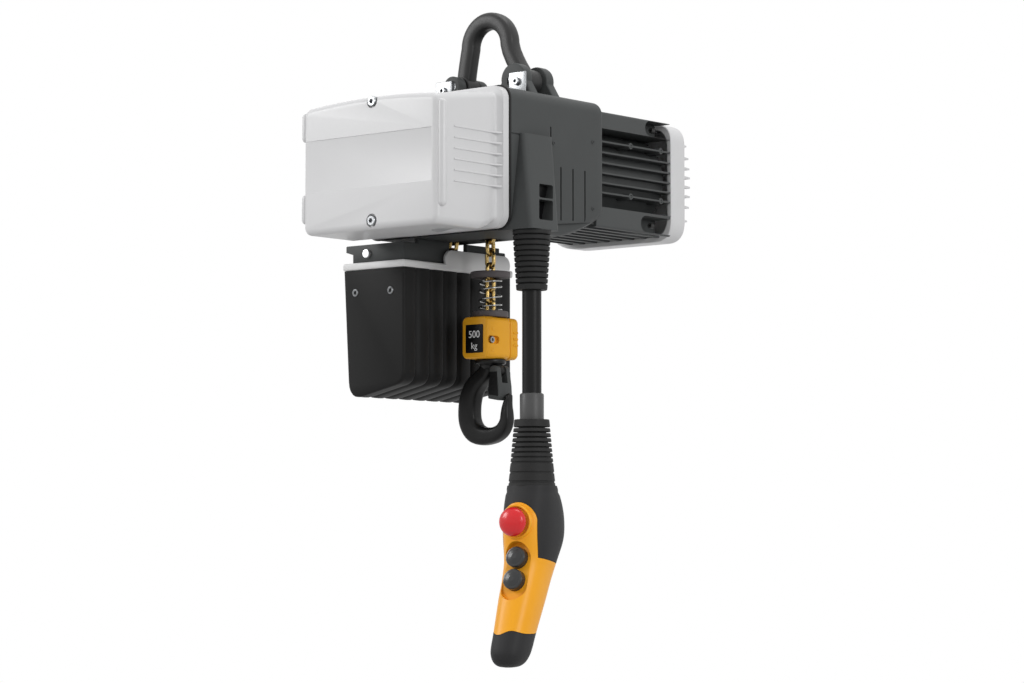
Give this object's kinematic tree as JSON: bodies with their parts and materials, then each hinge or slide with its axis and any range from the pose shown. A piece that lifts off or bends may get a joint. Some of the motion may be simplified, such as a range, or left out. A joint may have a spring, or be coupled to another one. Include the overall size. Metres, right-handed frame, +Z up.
{
  "type": "electric chain hoist",
  "caption": "Electric chain hoist with suspension bail, finned motor, light front cover, chain container, hook block with latched hook and a hanging push-button pendant.",
  "frame": {"origin": "where the bail's crown bears on what carries it, on the load line", "axes": "+X right across the front cover, front cover faces -Y, motor at +Y, +Z up along the load line"},
  "size_m": [0.2536, 0.4259, 0.6787],
  "materials": {
    "light_grey_paint": "satin powder coat on cast aluminium",
    "dark_grey_paint": "fine textured powder coat on cast aluminium",
    "forged_steel": "black paint on forged steel",
    "bright_steel": "bright zinc plate",
    "spring_steel": "oiled spring wire",
    "yellow_zinc": "yellow zinc plate",
    "copper_winding": "varnished copper",
    "board_laminate": "matt laminate",
    "black_plastic": "fine moulded texture",
    "black_rubber": "matt",
    "cable_sheath": "matt",
    "yellow_plastic": "satin moulded",
    "yellow_paint": "satin yellow paint",
    "red_plastic": "gloss moulded"
  },
  "bodies": {
    "hoist": {"bearing_plate": "dark_grey_paint", "brake_coil": "copper_winding", "cable_socket_cover": "dark_grey_paint", "chain_container": "black_plastic", "chain_guide": "black_plastic", "contactor": "black_plastic", "container_bracket": "dark_grey_paint", "container_rim": "light_grey_paint", "control_board": "board_laminate", "cover_gasket": "black_rubber", "cover_screw_bottom": "bright_steel", "cover_screw_top": "bright_steel", "fan_cover": "light_grey_paint", "front_cover": "light_grey_paint", "gear_plate": "dark_grey_paint", "main_body": "dark_grey_paint", "motor_end_shield": "dark_grey_paint", "motor_housing": "dark_grey_paint", "pin_keeper_left": "bright_steel", "pin_keeper_right": "bright_steel", "rotor_bearing_front": "bright_steel", "rotor_bearing_rear": "bright_steel", "slack_chain": "yellow_zinc", "stator": "copper_winding", "suspension_bail": "forged_steel", "suspension_pin_left": "bright_steel", "suspension_pin_right": "bright_steel", "upper_boot": "black_rubber", "wheel_bearing_front": "bright_steel", "wheel_bearing_rear": "bright_steel"},
    "hook_block": {"load_chain": "yellow_zinc", "buffer_disc_lower": "black_rubber", "buffer_spring": "spring_steel", "hook_block_front": "yellow_paint", "hook_block_back": "yellow_paint", "chain_anchor_pin": "bright_steel", "thrust_bearing": "bright_steel"},
    "hook": {"hook": "forged_steel", "hook_nut": "bright_steel", "latch_pin": "bright_steel"},
    "latch": {"hook_latch": "black_plastic"},
    "buffer": {"buffer_disc_upper": "black_rubber"},
    "drive_wheel": {"pocket_wheel": "bright_steel", "output_gear": "bright_steel", "wheel_chain": "yellow_zinc"},
    "layshaft": {"cluster_gear": "bright_steel"},
    "rotor": {"rotor": "bright_steel", "cooling_fan": "black_plastic", "brake_disc": "bright_steel"},
    "pendant": {"pendant_cable": "cable_sheath", "cable_sleeve": "cable_sheath", "lower_boot": "black_rubber", "pendant_housing": "black_plastic", "pendant_handle": "yellow_plastic", "pendant_end_cap": "black_plastic", "switch_block": "black_plastic"},
    "up_button": {"up_button": "black_plastic"},
    "down_button": {"down_button": "black_plastic"},
    "stop_stem": {"estop_stem": "black_plastic"},
    "stop_head": {"estop_head": "red_plastic"}
  },
  "joints": [
    {"name": "hook_lift", "type": "slide", "parent": "hoist", "child": "hook_block", "axis": [0, 0, 1], "range_m": [-0.03, 0.028]},
    {"name": "wheel_turn", "type": "hinge", "parent": "hoist", "child": "drive_wheel", "pos_m": [-0.0229, 0, -0.15], "axis": [0, 1, 0], "range_deg": [-73, 78]},
    {"name": "layshaft_turn", "type": "hinge", "parent": "hoist", "child": "layshaft", "pos_m": [-0.01913, 0, -0.11873], "axis": [0, 1, 0], "range_deg": [-192, 180]},
    {"name": "rotor_turn", "type": "hinge", "parent": "hoist", "child": "rotor", "pos_m": [-0.0075, 0, -0.148], "axis": [0, 1, 0], "range_deg": [-445, 475]},
    {"name": "hook_swivel", "type": "hinge", "parent": "hook_block", "child": "hook", "pos_m": [0, 0, -0.35], "axis": [0, 0, 1], "continuous": true},
    {"name": "latch_swing", "type": "hinge", "parent": "hook", "child": "latch", "pos_m": [0.013, 0, -0.3595], "axis": [0, 1, 0], "range_deg": [0, 25], "stiffness_Nm_per_rad": 0.1, "springref_deg": -28.65},
    {"name": "buffer_press", "type": "slide", "parent": "hook_block", "child": "buffer", "axis": [0, 0, 1], "range_m": [-0.018, 0], "stiffness_N_per_m": 1500, "deforming": ["buffer_spring"]},
    {"name": "pendant_swing", "type": "hinge", "parent": "hoist", "child": "pendant", "pos_m": [0.101, -0.0587, -0.2843], "axis": [1, 0, 0], "range_deg": [-15, 15], "deforming": ["pendant_cable"]},
    {"name": "up_press", "type": "slide", "parent": "pendant", "child": "up_button", "axis": [-0.2008, 0.9448, -0.2588], "range_m": [0, 0.0025], "stiffness_N_per_m": 1200},
    {"name": "down_press", "type": "slide", "parent": "pendant", "child": "down_button", "axis": [-0.2008, 0.9448, -0.2588], "range_m": [0, 0.0025], "stiffness_N_per_m": 1200},
    {"name": "stop_press", "type": "slide", "parent": "pendant", "child": "stop_stem", "axis": [-0.2079, 0.9781, 0], "range_m": [0, 0.004], "stiffness_N_per_m": 1500},
    {"name": "stop_twist", "type": "hinge", "parent": "stop_stem", "child": "stop_head", "pos_m": [0.10786, -0.08528, -0.5175], "axis": [-0.2079, 0.9781, 0], "range_deg": [0, 45], "stiffness_Nm_per_rad": 0.08}
  ],
  "couplings": [
    {"joint": "wheel_turn", "follows": "hook_lift", "rad_per_m": -43.669},
    {"joint": "layshaft_turn", "follows": "hook_lift", "rad_per_m": 109.17},
    {"joint": "rotor_turn", "follows": "hook_lift", "rad_per_m": -272.93}
  ]
}
